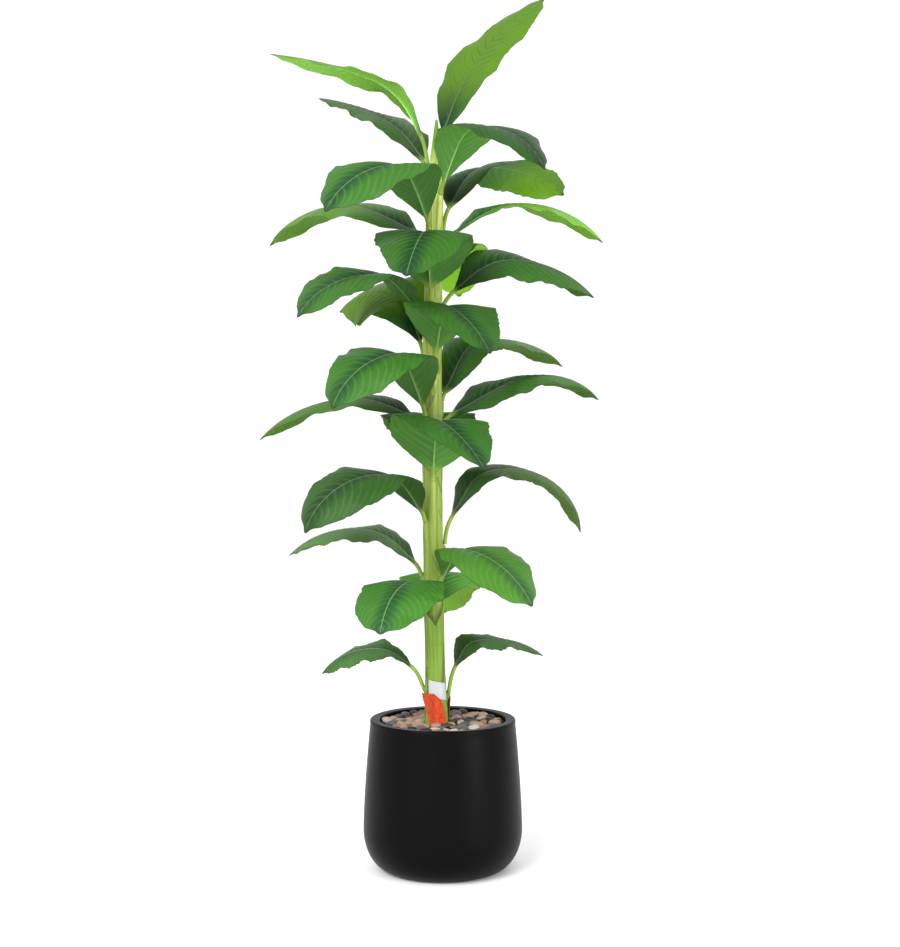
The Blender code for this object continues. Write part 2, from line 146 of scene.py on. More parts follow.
LEAVES = [
    # the crown, from the top down
    Leaf(1.635, 25, 0.44, 0.14, 0.02, 88, 71, 49, 37, 0.33, 0.3,
         foot_roll=25, tip_roll=30, foot_fold=20, tip_fold=5,
         backlight_top=0.85, backlight_under=0.9, top_painted_light=0.72, backlight_from=0.08, painted_foot_shade=0.35, wrap=0.30),
    Leaf(1.592, 182, 0.41, 0.125, 0.06, 82, 66, 22, 6, 0.27, 0.24,
         foot_roll=8, foot_fold=20, tip_fold=-8, belly=0.72,
         backlight_top=0.8, backlight_under=0.6, painted_foot_shade=0.1, under_painted_light=3, top_painted_light=1.2, backlight_from=0,
         grey=0.3, wrap=0.26),
    Leaf(1.570, 150, 0.35, 0.165, 0.03, 72, 57, 33, 11, 0.25, 0.25,
         foot_roll=-15, tip_roll=-4, foot_fold=20, tip_fold=0, belly=0.78,
         backlight_under=0.1, grey=0.6, top_painted_light=1.2, wrap=0.24),
    Leaf(1.519, 306, 0.38, 0.2, 0.02, 80, 57, 4, -69, 0.34, 0.12,
         sweep=36, foot_roll=-2, tip_roll=15, foot_fold=17, tip_fold=4, belly=1.06,
         painted_foot_shade=0.3, top_painted_light=0.46, under_painted_light=2, wrap=0.30),
    Leaf(1.440, 242, 0.382, 0.21, 0.02, 80, 52, -5, -65, 0.36, 0.11,
         sweep=-50, foot_roll=11, tip_roll=-38, foot_fold=17, tip_fold=2, belly=1.02,
         top_painted_light=0.9, under_painted_light=1.2, wrap=0.27),
    Leaf(1.444, 33, 0.388, 0.195, 0.05, 82, 59, 8, -31, 0.3, 0.17,
         foot_roll=11, tip_roll=-25, foot_fold=19, tip_fold=-6, belly=0.79,
         backlight_under=0.9, backlight_from=0.5, frill=0.03, painted_foot_shade=1.3, painted_foot_shade_under=1, under_painted_light=1.45,
         wrap=0.22),
    Leaf(1.424, 159, 0.42, 0.185, 0.02, 45, 28, 9, -53, 0.35, 0.2,
         foot_roll=-25, tip_roll=-2, foot_fold=16, tip_fold=-10,
         backlight_top=0.45, backlight_under=0.55, painted_foot_shade=0.45, top_painted_light=1.1, under_painted_light=1.5,
         grey=0.15, wrap=0.20),
    Leaf(1.418, 12, 0.395, 0.17, 0.03, 42, 33, 9.5, -52, 0.3, 0.2,
         foot_roll=11, tip_roll=6, foot_fold=22, tip_fold=-11,
         backlight_top=0.55, backlight_under=0.8, painted_foot_shade=0.1, top_painted_light=1.9, under_painted_light=1.8, wrap=0.24),
    Leaf(1.280, 261, 0.355, 0.215, 0.03, 82, 64, -22, -50, 0.37, 0.1,
         sweep=-4, tip_roll=-4, foot_fold=18, tip_fold=-3, belly=0.72,
         top_painted_light=0.8, under_painted_light=1.2, wrap=0.26),
    Leaf(1.300, 78, 0.34, 0.19, 0.03, 80, 60, 0, -60, 0.3, 0.15,
         foot_fold=28, tip_fold=-10,
         backlight_under=1.0, painted_foot_shade=0.3, under_painted_light=2.6, painted_foot_shade_under=0.05, wrap=0.22),
    # the middle of the trunk
    Leaf(1.275, 8, 0.38, 0.21, 0.03, 60, 42, 5, -50, 0.3, 0.2,
         foot_roll=40, tip_roll=5, foot_fold=20, belly=1.05,
         backlight_under=0.5, painted_foot_shade=0.6, grey=0.2, top_painted_light=0.85, wrap=0.28),
    Leaf(1.236, 216, 0.346, 0.188, 0.03, 74, 42, 2, -62, 0.3, 0.12,
         sweep=-32, tip_roll=-35, foot_fold=16, tip_fold=8, belly=0.9,
         painted_foot_shade=0.6, grey=0.1, top_painted_light=0.88, frill=0.02, wrap=0.24),
    Leaf(1.165, 146, 0.312, 0.222, 0.02, 78, 67, 27, -44, 0.34, 0.15,
         foot_roll=-28, tip_roll=-42, foot_fold=24, tip_fold=-8, belly=1.08,
         backlight_top=0.9, backlight_under=0.85, painted_foot_shade=0.1, top_painted_light=0.68, under_painted_light=2.2, wrap=0.22),
    Leaf(1.147, 286, 0.335, 0.2, 0.02, 82, 60, -15, -58, 0.34, 0.1,
         sweep=28, foot_roll=-4, tip_roll=3, foot_fold=17, tip_fold=8, belly=0.9,
         top_painted_light=0.7, under_painted_light=1.3, wrap=0.27),
    Leaf(1.057, 32, 0.415, 0.175, 0.015, 82, 62, 10, -38, 0.33, 0.14,
         foot_roll=17, foot_fold=20, tip_fold=-8, belly=0.76,
         backlight_top=0.1, backlight_under=0.7, painted_foot_shade=0.75, top_painted_light=1.35, grey=0.2, frill=0.03, wrap=0.2),
    Leaf(1.003, 240, 0.372, 0.208, 0.04, 82, 57, -8, -73, 0.38, 0.11,
         sweep=-44, foot_roll=9, tip_roll=-34, foot_fold=18, tip_fold=3, belly=1,
         top_painted_light=0.9, under_painted_light=1.1, wrap=0.2),
    Leaf(1.010, 162, 0.42, 0.15, 0.02, 36, 25, 3, -46, 0.25, 0.2,
         foot_roll=-20, foot_fold=14,
         backlight_top=0.3, backlight_under=0.7, painted_foot_shade=0.7, grey=0.2, top_painted_light=0.9, wrap=0.16),
    Leaf(1.012, 5, 0.38, 0.178, 0.02, 42, 31, 25.5, -51, 0.34, 0.25,
         foot_roll=28, tip_roll=-7, foot_fold=16, tip_fold=-8,
         backlight_under=0.3, painted_foot_shade=0.4, grey=0.15, wrap=0.17),
    Leaf(0.878, 275, 0.34, 0.218, 0.02, 82, 66, -13, -57, 0.37, 0.1,
         sweep=50, foot_roll=-9, tip_roll=4, foot_fold=17, tip_fold=14, belly=0.76,
         top_painted_light=0.78, under_painted_light=1.4, wrap=0.14),
    Leaf(0.885, 95, 0.34, 0.22, 0.03, 82, 65, -10, -50, 0.38, 0.12,
         foot_fold=28, tip_fold=-8,
         backlight_under=0.6, painted_foot_shade=0.6, wrap=0.34),
    # the lowest leaves
    Leaf(0.786, 230, 0.397, 0.198, 0.02, 78, 48, 7, -75, 0.29, 0.14,
         sweep=-38, foot_roll=7, tip_roll=-35, foot_fold=16, tip_fold=-2, belly=1,
         painted_foot_shade=0.4, grey=0.25, top_painted_light=0.66, under_painted_light=0.8, wrap=0.16),
    Leaf(0.732, 15, 0.449, 0.175, 0.06, 84, 60, 15, -87, 0.26, 0.12,
         foot_roll=14, tip_roll=2, foot_fold=18, tip_fold=-7, belly=0.9,
         backlight_top=0.35, backlight_under=0.9, painted_foot_shade=0, grey=0.4, under_painted_light=0.95, top_painted_light=0.75,
         painted_foot_shade_under=0, frill=0.03, wrap=0.5),
    Leaf(0.660, 174, 0.34, 0.153, 0.03, 73, 47, 13, -48, 0.28, 0.18,
         foot_roll=-14, foot_fold=18,
         backlight_top=0.1, backlight_under=0.4, grey=0.7, painted_foot_shade=0.1, top_painted_light=1.75, wrap=0.45),
    Leaf(0.640, 303, 0.342, 0.2, 0.02, 80, 48, -4, -64, 0.28, 0.12,
         sweep=32, foot_roll=-5, tip_roll=15, foot_fold=18, tip_fold=1, belly=1.1,
         top_painted_light=1.1, under_painted_light=1.2, backlight_top=0.1, wrap=0.5),
    Leaf(0.566, 86, 0.32, 0.2, 0.03, 80, 44, -20, -54, 0.32, 0.12,
         foot_fold=10, tip_fold=-8,
         backlight_under=1.0, grey=0.2, under_painted_light=1.75, top_painted_light=2.8, wrap=0.25),
    Leaf(0.584, 240, 0.285, 0.206, 0.02, 75, 42, -8, -64, 0.3, 0.12,
         sweep=14, foot_roll=3, tip_roll=-2, foot_fold=18, tip_fold=-6, belly=1.06,
         painted_foot_shade=0.3, top_painted_light=1.1, wrap=0.45),
    Leaf(0.410, 182, 0.237, 0.12, 0.05, 71, 41, 10, -56, 0.25, 0.2,
         foot_roll=-14, tip_roll=-12, foot_fold=22, tip_fold=-10, belly=0.9,
         grey=0.5, top_painted_light=1.35, frill=0.045, wrap=0.30),
    Leaf(0.393, 12, 0.253, 0.125, 0.06, 83, 64, 12, -42, 0.24, 0.12,
         foot_roll=18, tip_roll=-6, foot_fold=19, tip_fold=-8,
         backlight_under=0.3, painted_foot_shade=0.2, grey=0.45, top_painted_light=1.1, under_painted_light=1.7, frill=0.04, wrap=0.30),
]


def smooth(x):
    """Ease from 0 to 1 with level ends."""
    x = np.clip(x, 0.0, 1.0)
    return x * x * (3 - 2 * x)


def between(x, start, end):
    """Share of the way from start to end, held at both ends."""
    return np.clip((x - start) / (end - start), 0.0, 1.0)


def hump(x):
    """1 at x = 0, falling off like a bell."""
    return np.exp(-x * x)


# ------------------------------------------------------------------ materials

LEAF_DEEP = (0.013, 0.056, 0.018)
LEAF_BRIGHT = (0.035, 0.128, 0.015)
# painted backlight: the yellow-green of light coming through the cloth
LEAF_BACKLIT = (0.105, 0.235, 0.012)
LEAF_UNDER = (0.050, 0.135, 0.026)
# painted grey sheen
LEAF_SHEEN_GREY = (0.034, 0.060, 0.024)
LEAF_VEIN = (0.085, 0.205, 0.045)
LEAF_RIB = (0.170, 0.285, 0.085)
LEAF_MARGIN = (0.020, 0.030, 0.010)
LEAF_STALK = (0.190, 0.300, 0.045)
STALK_FOOT = (0.250, 0.370, 0.060)
TRUNK_PALE = (0.330, 0.390, 0.090)
TRUNK_GREEN = (0.165, 0.300, 0.024)
TRUNK_OLIVE = (0.080, 0.135, 0.018)
TRUNK_SPEAR = (0.034, 0.132, 0.002)
POT_DARK = (0.0008, 0.0008, 0.0009)
POT_LIGHT = (0.0014, 0.0014, 0.0015)
ORANGE = (0.52, 0.055, 0.010)
# painted shade in the orange felt's creases
ORANGE_CREASE_SHADE = (0.30, 0.026, 0.006)
# the orange felt in painted shade, for the wrapper's end behind the trunk, then the same in its
# creases
ORANGE_IN_SHADE = (0.30, 0.075, 0.022)
ORANGE_IN_SHADE_CREASE = (0.12, 0.040, 0.015)
CARD_GREY = (0.36, 0.38, 0.39)
CARD_WHITE = (0.44, 0.45, 0.46)
CEMENT_DARK = (0.020, 0.018, 0.016)
CEMENT_LIGHT = (0.075, 0.066, 0.058)
FLOOR_GREY = (0.90, 0.90, 0.90)
FLOOR_WHITE = (0.92, 0.92, 0.92)


class Look:
    """A Principled material, built from short node calls."""

    def __init__(self, name, specular=0.5):
        self.material = bpy.data.materials.new(name)
        self.material.use_nodes = True
        self.tree = self.material.node_tree
        self.shader = self.tree.nodes["Principled BSDF"]
        self.shader.inputs["Specular IOR Level"].default_value = specular

    def put(self, socket, value):
        """Link a socket, or set a plain number, colour or vector on one."""
        if isinstance(value, bpy.types.NodeSocket):
            self.tree.links.new(value, socket)
        elif isinstance(value, tuple) and socket.type == "RGBA":
            socket.default_value = (*value, 1)
        else:
            socket.default_value = value

    def sum(self, operation, *values):
        """A Math node."""
        node = self.tree.nodes.new("ShaderNodeMath")
        node.operation = operation
        for socket, value in zip(node.inputs, values):
            self.put(socket, value)
        return node.outputs[0]

    def ease(self, value, low, high, first=0.0, last=1.0):
        """Smooth step of value from low to high, between two results."""
        node = self.tree.nodes.new("ShaderNodeMapRange")
        node.interpolation_type = "SMOOTHSTEP"
        for socket, entry in zip(node.inputs, (value, low, high, first, last)):
            self.put(socket, entry)
        return node.outputs[0]

    def mix(self, share, first, second):
        """A mix of two colours."""
        node = self.tree.nodes.new("ShaderNodeMix")
        node.data_type = "RGBA"
        for index, value in zip((0, 6, 7), (share, first, second)):     # its colour sockets
            self.put(node.inputs[index], value)
        return node.outputs[2]

    def scaled(self, colour, share):
        """A colour multiplied by a number."""
        node = self.tree.nodes.new("ShaderNodeVectorMath")
        node.operation = "SCALE"
        self.put(node.inputs[0], colour)
        self.put(node.inputs["Scale"], share)
        return node.outputs[0]

    def place(self, stretch=(1.0, 1.0, 1.0)):
        """Object coordinates, each axis multiplied by stretch."""
        coordinates = self.tree.nodes.new("ShaderNodeTexCoord").outputs["Object"]
        node = self.tree.nodes.new("ShaderNodeVectorMath")
        node.operation = "MULTIPLY"
        self.put(node.inputs[0], coordinates)
        node.inputs[1].default_value = stretch
        return node.outputs[0]

    def noise(self, scale, detail=2.0, stretch=(1.0, 1.0, 1.0)):
        """Noise from 0 to 1, mostly near a half."""
        node = self.tree.nodes.new("ShaderNodeTexNoise")
        self.put(node.inputs["Vector"], self.place(stretch))
        node.inputs["Scale"].default_value = scale
        node.inputs["Detail"].default_value = detail
        return node.outputs["Fac"]

    def attribute(self, name):
        """A number stored on the mesh's points."""
        node = self.tree.nodes.new("ShaderNodeAttribute")
        node.attribute_name = name
        return node.outputs["Fac"]

    def crest(self, phase, times, power):
        """1 where phase x times is whole, dropping to 0 halfway between."""
        turn = self.sum("MULTIPLY", phase, TURN * times)
        wave = self.sum("MULTIPLY_ADD", self.sum("COSINE", turn), 0.5, 0.5)
        return self.sum("POWER", wave, power)

    def bump(self, height, distance):
        """Bump from a height in shares of distance."""
        node = self.tree.nodes.new("ShaderNodeBump")
        node.inputs["Distance"].default_value = distance
        self.put(node.inputs["Height"], height)
        self.put(self.shader.inputs["Normal"], node.outputs[0])

    def finish(self, colour, roughness):
        """Give the shader its colour and roughness."""
        self.put(self.shader.inputs["Base Color"], colour)
        self.put(self.shader.inputs["Roughness"], roughness)
        return self.material


def leaf_material():
    """Printed cloth: deep green by the rib, brighter outwards, arching veins; with painted
    backlight, painted shade at the foot, painted light on each side and a painted grey sheen, leaf
    by leaf.
    """
    look = Look("leaf_print", specular=0.10)
    along = look.attribute("along")
    face = look.attribute("face")
    vein = look.attribute("vein")
    rib = look.attribute("rib_mm")
    edge = look.attribute("edge_mm")
    backlight = look.attribute("backlight")
    painted_foot_shade = look.attribute("painted_foot_shade")
    grey = look.attribute("grey")
    tone = look.attribute("tone")

    # side veins that wander a little and fade here and there
    blotch = look.noise(16, 3)
    grain = look.noise(260, 2)
    wander = look.sum("MULTIPLY_ADD", look.noise(30, 1), 0.4, vein)
    main = look.crest(wander, 1, 9)
    broad = look.crest(wander, 1, 1.2)
    fine = look.crest(wander, 4, 2)
    presence = look.ease(look.noise(24, 2), 0.35, 0.62, 0.25, 1.0)
    main = look.sum("MULTIPLY", main, presence)

    # deep green along the rib, brighter outwards, in blotches
    outwards = look.ease(rib, 3.0, 40.0)
    spread = look.sum("MULTIPLY_ADD", blotch, 1.1, -0.5)
    outwards = look.sum("ADD", outwards, spread)
    outwards = look.sum("MINIMUM", look.sum("MAXIMUM", outwards, 0.0), 1.0)
    top = look.mix(outwards, LEAF_DEEP, LEAF_BRIGHT)
    under = look.mix(look.sum("MULTIPLY", blotch, 0.5), LEAF_UNDER, LEAF_BRIGHT)
    colour = look.mix(face, top, under)
    # painted backlight, yellow-green where light would come through the cloth
    colour = look.mix(backlight, colour, LEAF_BACKLIT)
    # painted sheen, greying the colour leaf by leaf
    colour = look.mix(grey, colour, LEAF_SHEEN_GREY)

    # veins are light on the upper side, darker where the light comes through
    shown = look.ease(edge, 1.0, 14.0)
    light = look.sum("MULTIPLY", main, look.sum("MULTIPLY", shown, 0.34))
    light = look.sum("MULTIPLY", light, look.sum("SUBTRACT", 1.0, backlight))
    colour = look.mix(light, colour, LEAF_VEIN)
    shade = look.sum("MULTIPLY_ADD", look.sum("MULTIPLY", main, backlight), -0.42, 1.0)
    shade = look.sum("SUBTRACT", shade, look.sum("MULTIPLY", fine, 0.05))
    # painted shading of the blade's ripples: a faint light band at each side vein, darker between
    shade = look.sum("ADD", shade, look.sum("MULTIPLY_ADD", broad, 0.08, -0.04))
    shade = look.sum("ADD", shade, look.sum("MULTIPLY_ADD", grain, 0.06, -0.03))
    # painted shade towards the leaf's foot, leaf by leaf
    shade = look.sum("MULTIPLY", shade, look.sum("MULTIPLY_ADD", painted_foot_shade, -0.62, 1.0))
    colour = look.scaled(colour, shade)

    # the pale rib, the thin dark margin and tip, and the petiole
    width = look.sum("MULTIPLY_ADD", along, -1.5, 2.0)
    on_rib = look.ease(look.sum("SUBTRACT", rib, width), 0.7, -0.7, 0.0, 0.8)
    # the pale rib shows less in the painted foot shade and the painted backlight
    on_rib = look.sum("MULTIPLY", on_rib, look.sum("MULTIPLY_ADD", painted_foot_shade, -0.6, 1.0))
    on_rib = look.sum("MULTIPLY", on_rib, look.sum("MULTIPLY_ADD", backlight, -0.7, 1.0))
    # painted light and shade: each side of each leaf lightened or darkened as a whole
    colour = look.scaled(look.mix(on_rib, colour, LEAF_RIB), tone)
    colour = look.mix(look.ease(edge, 1.3, 0.3, 0.0, 0.7), colour, LEAF_MARGIN)
    colour = look.mix(look.ease(along, 0.965, 0.995, 0.0, 0.7), colour, LEAF_MARGIN)
    stalk = look.scaled(LEAF_STALK, look.sum("MULTIPLY_ADD", blotch, 0.8, 0.6))
    stalk = look.mix(look.ease(along, -0.2, -1.0, 0.0, 0.8), stalk, STALK_FOOT)
    colour = look.mix(look.ease(along, 0.06, 0.0), colour, stalk)

    rough = look.sum("MULTIPLY_ADD", blotch, 0.24, 0.34)
    rough = look.sum("MULTIPLY_ADD", main, -0.05, rough)
    height = look.sum("MULTIPLY_ADD", main, 0.3, look.sum("MULTIPLY", fine, 0.05))
    look.bump(look.sum("MULTIPLY", height, shown), 0.0003)
    return look.finish(colour, rough)


def trunk_material():
    """Moulded sheaths: streaked yellow-green, with painted shade beside their edges and on the
    petioles' flanks, and painted light under the crown.
    """
    look = Look("trunk_sheaths", specular=0.2)
    seam = look.attribute("seam_mm")
    tone = look.attribute("tone")
    stalk = look.attribute("stalk")
    height = look.attribute("height")
    streak = look.noise(150, 3, (1.0, 1.0, 0.035))
    patch = look.noise(22, 3, (1.0, 1.0, 0.35))
    grain = look.noise(420, 2, (1.0, 1.0, 0.3))
    # greener low down, paler upwards and on some sheaths
    paler = look.ease(height, 0.60, 1.20, 0.08, 0.90)
    paler = look.sum("ADD", paler, look.sum("MULTIPLY_ADD", patch, 0.9, -0.45))
    paler = look.sum("ADD", paler, look.sum("MULTIPLY", tone, 0.20))
    paler = look.sum("ADD", paler, look.sum("MULTIPLY", stalk, 0.15))
    paler = look.sum("MINIMUM", look.sum("MAXIMUM", paler, 0.0), 1.0)
    colour = look.mix(paler, TRUNK_GREEN, TRUNK_PALE)
    colour = look.mix(look.ease(height, 1.56, 1.66, 0.0, 0.96), colour, TRUNK_SPEAR)
    # olive streaks, fainter near the foot
    dark = look.ease(streak, 0.50, 0.74, 0.0, 0.34)
    dark = look.sum("MULTIPLY", dark, look.ease(height, 0.40, 0.75, 0.35, 1.0))
    colour = look.mix(dark, colour, TRUNK_OLIVE)
    # painted light: lighter upwards under the crown, where the leaves shade the trunk; each
    # sheath's own tone and a fine grain vary it
    shade = look.sum("MULTIPLY_ADD", tone, 0.10, look.ease(height, 0.95, 1.45, 0.90, 1.45))
    shade = look.sum("MULTIPLY_ADD", grain, 0.14, look.sum("SUBTRACT", shade, 0.07))
    colour = look.scaled(colour, shade)
    # the sheath underneath is in shadow beside the edge of the one over it
    under = look.ease(seam, -18.0, -0.5, 0.0, 0.95)
    under = look.sum("MULTIPLY", under, look.ease(seam, 0.5, -0.5))
    under = look.sum("MULTIPLY", under, look.ease(patch, 0.30, 0.60, 0.55, 1.0))
    under = look.sum("MULTIPLY", under, look.ease(height, 0.58, 0.70, 1.0, 0.5))
    # and so are the flanks of each petiole that runs down the trunk
    flank = look.ease(stalk, 0.02, 0.16, 0.0, 0.30)
    flank = look.sum("MULTIPLY", flank, look.ease(stalk, 0.50, 0.20))
    flank = look.sum("MULTIPLY", flank, look.ease(height, 0.50, 0.75, 0.3, 1.0))
    under = look.sum("MAXIMUM", under, flank)
    colour = look.mix(under, colour, TRUNK_OLIVE)
    colour = look.scaled(colour, look.sum("MULTIPLY_ADD", under, -0.5, 1.0))
    look.bump(look.sum("MULTIPLY_ADD", grain, 0.3, streak), 0.0007)
    rough = look.sum("MULTIPLY_ADD", patch, 0.2, 0.40)
    return look.finish(colour, rough)


def pot_material():
    """Satin black moulding, a touch uneven in its gloss."""
    look = Look("satin_black", specular=0.06)
    cloud = look.noise(9, 2)
    orange_peel = look.noise(520, 2)
    colour = look.mix(cloud, POT_DARK, POT_LIGHT)
    look.bump(orange_peel, 0.00008)
    return look.finish(colour, look.sum("MULTIPLY_ADD", cloud, 0.08, 0.34))


def pebble_material(name, colour):
    """A water-worn stone of one colour, dull, with a fine pitted skin."""
    look = Look(name)
    pits = look.noise(480, 3)
    look.bump(pits, 0.0003)
    return look.finish(colour, look.sum("MULTIPLY_ADD", pits, 0.3, 0.42))


def sheath_material(name, colour, dark):
    """Dyed felt, with painted shade in its creases and lumps."""
    look = Look(name, specular=0.2)
    look.shader.inputs["Sheen Weight"].default_value = 0.15
    fibre = look.noise(900, 3, (1.0, 1.0, 0.25))
    crease = look.noise(70, 2, (1.0, 1.0, 0.12))
    lump = look.noise(150, 3)
    # painted shade in the creases and lumps
    crease_shade = look.sum("MAXIMUM", look.ease(crease, 0.40, 0.72, 0.0, 0.8),
                     look.ease(lump, 0.46, 0.66, 0.0, 0.75))
    blend = look.mix(crease_shade, colour, dark)
    look.bump(look.sum("MULTIPLY_ADD", fibre, 0.4, look.sum("ADD", crease, lump)), 0.0009)
    return look.finish(look.scaled(blend, look.sum("MULTIPLY_ADD", fibre, 0.3, 0.85)), 0.75)


def label_material():
    """Plain coated card."""
    look = Look("blank_card")
    cloud = look.noise(60, 2)
    look.bump(cloud, 0.0002)
    return look.finish(look.mix(cloud, CARD_GREY, CARD_WHITE), 0.4)


def fill_material():
    """Cast cement under the pebbles."""
    look = Look("cast_cement")
    lumps = look.noise(90, 4)
    look.bump(lumps, 0.002)
    return look.finish(look.mix(lumps, CEMENT_DARK, CEMENT_LIGHT), 0.9)


def floor_material():
    """Pale seamless floor."""
    look = Look("studio_floor", specular=0.3)
    return look.finish(look.mix(look.noise(2, 1), FLOOR_GREY, FLOOR_WHITE), 0.55)


# -------------------------------------------------------------- making pieces

def show(mesh, material, nodes):
    """A mesh in the scene, smooth, riding on the plant in place of the named
    solids."""
    mesh.materials.append(material)
    mesh.shade_smooth()
    obj = bpy.data.objects.new(mesh.name, mesh)
    bpy.context.scene.collection.objects.link(obj)
    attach(obj, "root")
    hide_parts(*nodes)


def piece(name, vertices, faces, material, nodes, numbers=None, sharp=None):
    """A mesh from points and faces, with numbers for its material on each
    point, creased where its faces meet at more than sharp."""
    mesh = bpy.data.meshes.new(name)
    mesh.from_pydata(vertices.tolist(), [], faces)
    for key, values in (numbers or {}).items():
        layer = mesh.attributes.new(key, "FLOAT", "POINT")
        layer.data.foreach_set("value", values.ravel().astype(np.float32))
    show(mesh, material, nodes)
    if sharp:
        mesh.set_sharp_from_angle(angle=math.radians(sharp))
    return mesh


def grid_faces(rows, columns, closed=False, start=0):
    """Quads of a grid of points numbered row by row."""
    last = columns if closed else columns - 1
    row, column = np.meshgrid(np.arange(rows - 1), np.arange(last), indexing="ij")
    following = (column + 1) % columns
    a = row * columns + column
    b = row * columns + following
    return start + np.stack([a, b, b + columns, a + columns], -1).reshape(-1, 4)


def sewn_faces(rows, columns):
    """Faces of an outer skin, then of an inner one, both grids of points, and
    of the strips that join their first and last columns and rows."""
    count = rows * columns
    skins = [grid_faces(rows, columns), grid_faces(rows, columns, start=count)[:, ::-1]]
    first = np.arange(rows - 1) * columns
    last = first + columns - 1
    foot = np.arange(columns - 1)
    tip = foot + (rows - 1) * columns
    sides = ((first, first + columns), (last + columns, last), (foot + 1, foot), (tip, tip + 1))
    strips = [np.stack([a, b, b + count, a + count], -1) for a, b in sides]
    return np.concatenate(skins + strips).tolist()


def ring_faces(rows, columns):
    """Faces of a closed body of rings, with one point at each end, the last
    two of its points."""
    count, top = rows * columns, (rows - 1) * columns
    faces = grid_faces(rows, columns, closed=True).tolist()
    faces += [[(k + 1) % columns, k, count] for k in range(columns)]
    faces += [[top + k, top + (k + 1) % columns, count + 1] for k in range(columns)]
    return faces


# ----------------------------------------------------------------- trunk form

def trunk_centre(z):
    """The trunk's axis: a single shallow bow, in plan."""
    share = between(z, FILL_TOP, TRUNK_TOP)
    x = TRUNK_X - TRUNK_BOW * np.sin(math.pi * share)
    y = 0.5 * TRUNK_BOW * np.sin(TURN * share)
    return x, y


def trunk_radius(z):
    """A flared foot, a long slow taper, then a pointed growing tip."""
    flare = (TRUNK_FOOT_R - TRUNK_R) * (1 - smooth(between(z, FILL_TOP, 0.50)))
    taper = (TRUNK_R - TRUNK_NECK_R) * smooth(between(z, 0.90, TRUNK_NECK_Z))
    point = (TRUNK_NECK_R - TRUNK_TIP_R) * between(z, TRUNK_NECK_Z, TRUNK_TOP) ** 1.4
    return TRUNK_R + flare - taper - point


def trunk_relief(z, angle, radius):
    """How far the overlapping sheaths stand out, the distance in mm to the
    nearest sheath edge, inside positive, the visible sheath's tone, and the
    share of a petiole that runs down the trunk."""
    rng = np.random.default_rng(SEED)
    tones = rng.uniform(-1, 1, len(LEAVES))
    steps = np.zeros_like(z)
    stalks = np.zeros_like(z)
    stalk_share = np.zeros_like(z)
    seam = np.full_like(z, SEAM_FAR)
    tone = np.zeros_like(z)
    free = np.ones(z.shape, bool)       # not yet covered by a sheath outside this one
    for k in sorted(range(len(LEAVES)), key=lambda i: LEAVES[i].height - LEAVES[i].wrap):
        leaf = LEAVES[k]
        down = leaf.height - z
        share = between(down, 0.0, leaf.wrap)
        half = np.radians(SHEATH_FOLD * smooth(share / 0.08) + SHEATH_GAIN * share ** 3)
        off = np.abs((angle - math.radians(leaf.heading) + math.pi) % TURN - math.pi)
        inside = (half - off) * radius * 1000
        below = down > -0.002
        partial = below & (share < 1)
        spread = smooth(between(share, *SHEATH_FREE))
        step = SHEATH_STEP * spread * smooth(between(inside, -1.0, 1.0))
        steps += np.where(partial, step, 0)
        edge = np.where(inside < 0, inside - SEAM_SOFT * (1 - spread), inside)
        closer = partial & free & (spread > 0) & (np.abs(edge) < np.abs(seam))
        seam = np.where(closer, edge, seam)
        seen = below & free & (inside > 0) & (spread > 0)
        tone = np.where(seen, tones[k], tone)
        free &= ~seen
        # the petiole swells out of the trunk just under its leaf
        run = SWELL_RUN if leaf.height > LOW_LEAF else LOW_SWELL_RUN
        swell = smooth(between(down, run, 0.0)) * smooth(between(down, -0.004, 0.003))
        across = hump(off * radius / (STALK_HALF_WIDTH * (1.25 + 9 * np.clip(down, 0, 1))))
        stalk = STALK_THICKNESS * 0.92 * swell ** 2 * across * (off < 1.2)
        stalks = np.maximum(stalks, stalk)
        shown = between(down, 0.24, 0.04) * (down > 0) * across ** 2
        stalk_share = np.maximum(stalk_share, shown)
    steps -= 0.75 * steps.mean(axis=1, keepdims=True)
    steps *= 1 - 0.7 * smooth(between(z, 0.46, 0.43))       # flatter under the tag
    return steps + stalks, seam, tone, stalk_share


def build_trunk():
    """The false stem with the sheaths' edges and the petioles' swellings."""
    z = np.concatenate([np.arange(FILL_TOP + GAP, TRUNK_FINE_Z, TRUNK_ROW),
                        np.linspace(TRUNK_FINE_Z, TRUNK_TOP, 36)])
    angle = np.linspace(0, TURN, TRUNK_COLUMNS, endpoint=False)
    zz, aa = np.meshgrid(z, angle, indexing="ij")
    cx, cy = trunk_centre(zz)
    base = trunk_radius(zz)
    relief, seam, tone, stalks = trunk_relief(zz, aa, base)
    ribs = 0.00035 * np.sin(aa * 17 + 3 * np.sin(zz * 9)) + 0.0003 * np.sin(aa * 31 + zz * 5)
    fade = smooth(between(zz, TRUNK_TOP, TRUNK_TOP - 0.1))
    radius = base - 0.0006 + (relief + ribs) * fade
    grid = np.stack([cx + radius * np.cos(aa), cy + radius * np.sin(aa), zz], -1)
    foot = [*(float(v) for v in trunk_centre(z[0])), z[0]]
    tip = [*(float(v) for v in trunk_centre(z[-1])), z[-1] + 0.0008]
    vertices = np.concatenate([grid.reshape(-1, 3), [foot], [tip]])
    numbers = {"seam_mm": np.append(seam, [SEAM_FAR, SEAM_FAR]),
               "tone": np.append(tone, [0, 0]),
               "stalk": np.append(stalks, [0, 0]),
               "height": np.append(zz, [z[0], z[-1]])}
    piece("stem", vertices, ring_faces(len(z), TRUNK_COLUMNS), trunk_material(),
          ["trunk"], numbers)


# ------------------------------------------------------------------ leaf rule

